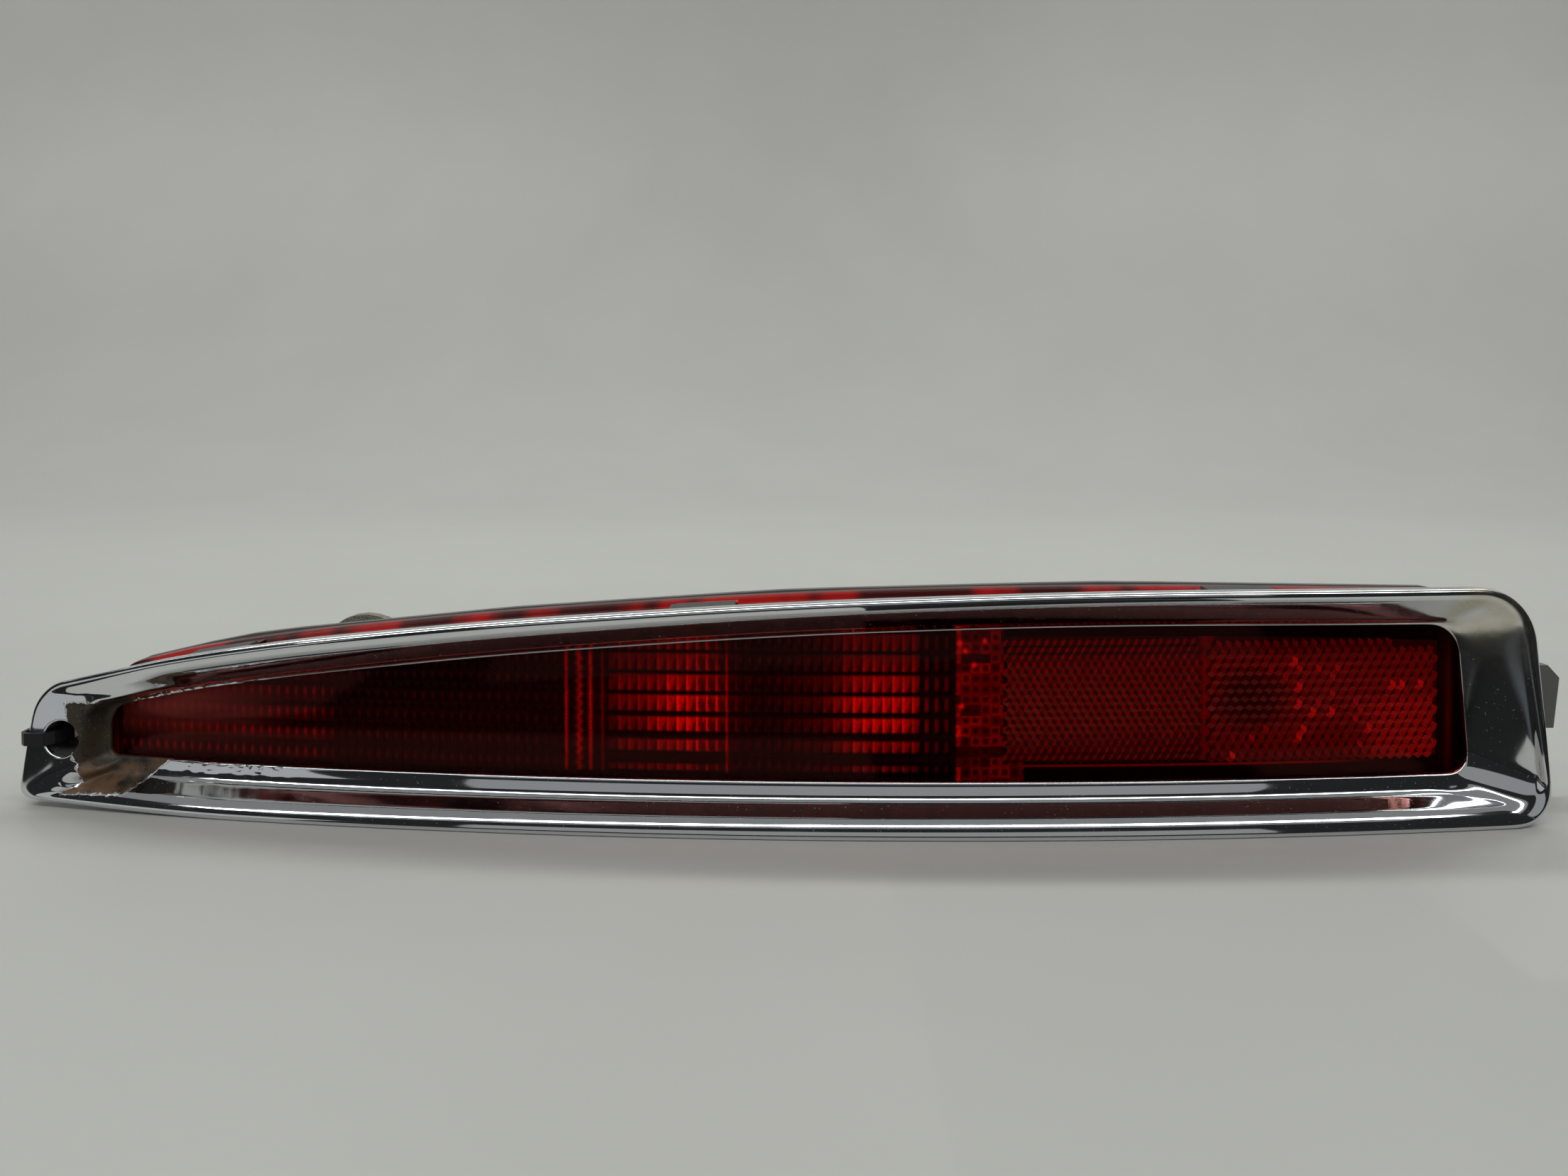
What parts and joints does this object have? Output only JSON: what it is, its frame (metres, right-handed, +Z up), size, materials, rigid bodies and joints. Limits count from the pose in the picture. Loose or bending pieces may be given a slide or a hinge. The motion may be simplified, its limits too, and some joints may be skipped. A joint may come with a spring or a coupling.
{
  "type": "trailer tail light",
  "caption": "Slim rear lamp: tapering chrome-plated bezel round a deep red lens with pillow and honeycomb optics, on a grey housing with twist-in bulb holders.",
  "frame": {"origin": "centre of the base, with the lamp standing on its long lower edge", "axes": "+X towards the wide end, -Y out of the lens (the front), +Z up"},
  "size_m": [0.5944, 0.1138, 0.0868],
  "materials": {
    "chrome_plating": "chrome-plated plastic, worn and peeling at the nose",
    "red_acrylic": "clear deep red, hazy at the narrow end",
    "red_reflex_acrylic": "clear red, honeycomb of reflex cells",
    "grey_abs": "moulded grey, fine texture",
    "aluminised_plastic": "vacuum-metallised mirror",
    "butyl": "matt",
    "black_nylon": "satin moulded",
    "black_rubber": "matt",
    "olive_foam": "closed-cell foam",
    "bulb_base_plastic": "satin",
    "bulb_glass": "clear",
    "filament_wire": "bare wire",
    "terminal_brass": "bright",
    "zinc_steel": "zinc plated",
    "tie_nylon": "satin"
  },
  "bodies": {
    "lamp_body": {"bezel": "chrome_plating", "cable_tie": "tie_nylon", "housing": "grey_abs", "lens": "red_acrylic", "lens_seal": "butyl", "reflex_reflector": "red_reflex_acrylic", "vent_cap": "black_rubber", "stud_1": "zinc_steel", "stud_seal_1": "olive_foam", "stud_2": "zinc_steel", "stud_seal_2": "olive_foam", "stud_3": "zinc_steel", "stud_seal_3": "olive_foam", "stud_4": "zinc_steel", "stud_seal_4": "olive_foam", "upper_reflector": "aluminised_plastic", "stop_reflector": "aluminised_plastic", "turn_reflector": "aluminised_plastic"},
    "upper_bulb_holder": {"upper_socket": "black_nylon", "upper_socket_gasket": "black_rubber", "upper_bulb_base": "bulb_base_plastic", "upper_bulb_glass": "bulb_glass", "upper_filament": "filament_wire", "upper_terminal_left": "terminal_brass", "upper_terminal_right": "terminal_brass"},
    "stop_bulb_holder": {"stop_socket": "black_nylon", "stop_socket_gasket": "black_rubber", "stop_bulb_base": "bulb_base_plastic", "stop_bulb_glass": "bulb_glass", "stop_filament": "filament_wire", "stop_terminal_left": "terminal_brass", "stop_terminal_right": "terminal_brass"},
    "turn_bulb_holder": {"turn_socket": "black_nylon", "turn_socket_gasket": "black_rubber", "turn_bulb_base": "bulb_base_plastic", "turn_bulb_glass": "bulb_glass", "turn_filament": "filament_wire", "turn_terminal_left": "terminal_brass", "turn_terminal_right": "terminal_brass"}
  },
  "joints": [
    {"name": "upper_socket_twist", "type": "hinge", "parent": "lamp_body", "child": "upper_bulb_holder", "pos_m": [-0.21372, 0.0249, 0.03], "axis": [0, 1, 0], "range_deg": [0, 45]},
    {"name": "stop_socket_twist", "type": "hinge", "parent": "lamp_body", "child": "stop_bulb_holder", "pos_m": [-0.04472, 0.0249, 0.04], "axis": [0, 1, 0], "range_deg": [0, 45]},
    {"name": "turn_socket_twist", "type": "hinge", "parent": "lamp_body", "child": "turn_bulb_holder", "pos_m": [0.03228, 0.0249, 0.042], "axis": [0, 1, 0], "range_deg": [0, 45]}
  ]
}
